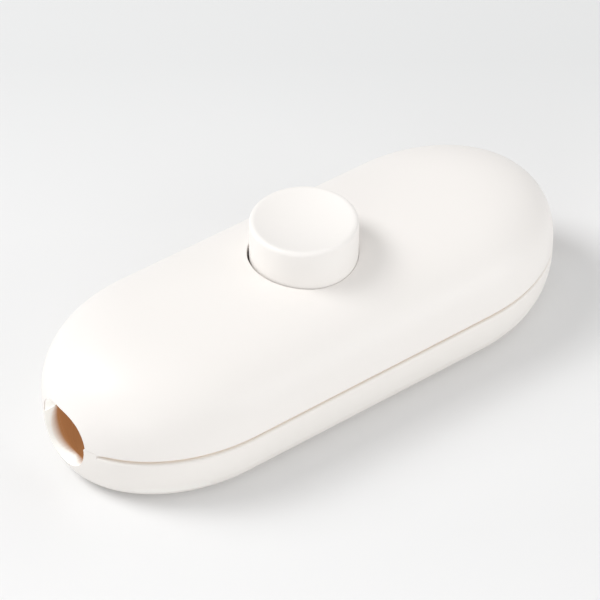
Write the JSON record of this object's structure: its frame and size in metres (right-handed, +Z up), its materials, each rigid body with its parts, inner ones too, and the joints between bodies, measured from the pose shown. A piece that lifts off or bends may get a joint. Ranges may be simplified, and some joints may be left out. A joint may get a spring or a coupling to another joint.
{
  "type": "inline cord switch",
  "caption": "Long domed inline switch for a lamp cord, with a dished push button in the crown, a rounded base and a round cord mouth at each end.",
  "frame": {"origin": "centre of the flat rest face under the base", "axes": "+X along the cord, +Z up through the button"},
  "size_m": [0.0932, 0.038, 0.0292],
  "materials": {
    "shell_white": "fine satin moulded, warm white",
    "button_white": "smooth satin moulded, slightly cooler white",
    "insert_ivory": "natural moulded",
    "insert_brown": "brown thermoset",
    "contact_brass": "bright stamped and machined",
    "plated_steel": "zinc plated",
    "spring_steel": "drawn wire and strip"
  },
  "bodies": {
    "shell": {"base_shell": "shell_white", "top_cover": "shell_white", "button_spring": "spring_steel", "mechanism_housing": "insert_brown", "mechanism_lid": "insert_brown", "detent_spring": "spring_steel", "neutral_connector": "contact_brass", "line_contact_left": "contact_brass", "line_screw_left": "plated_steel", "neutral_screw_left": "plated_steel", "cord_clamp_left": "insert_brown", "clamp_screw_left_front": "plated_steel", "clamp_screw_left_rear": "plated_steel", "cover_screw_left": "plated_steel", "line_contact_right": "contact_brass", "line_screw_right": "plated_steel", "neutral_screw_right": "plated_steel", "cord_clamp_right": "insert_brown", "clamp_screw_right_front": "plated_steel", "clamp_screw_right_rear": "plated_steel", "cover_screw_right": "plated_steel"},
    "button": {"push_button": "button_white", "drive_plunger": "insert_ivory"},
    "rotor": {"index_rotor": "insert_ivory", "contact_bridge": "contact_brass", "bridge_spring": "spring_steel"}
  },
  "joints": [
    {"name": "button_press", "type": "slide", "parent": "shell", "child": "button", "axis": [0, 0, -1], "range_m": [0, 0.0035], "stiffness_N_per_m": 300, "springref_m": -0.0003, "deforming": ["button_spring"]},
    {"name": "rotor_index", "type": "hinge", "parent": "shell", "child": "rotor", "pos_m": [0, 0, 0.0072], "axis": [0, 0, 1], "range_deg": [0, 45]}
  ],
  "couplings": [
    {"joint": "rotor_index", "follows": "button_press", "rad_per_m": 224.39}
  ]
}
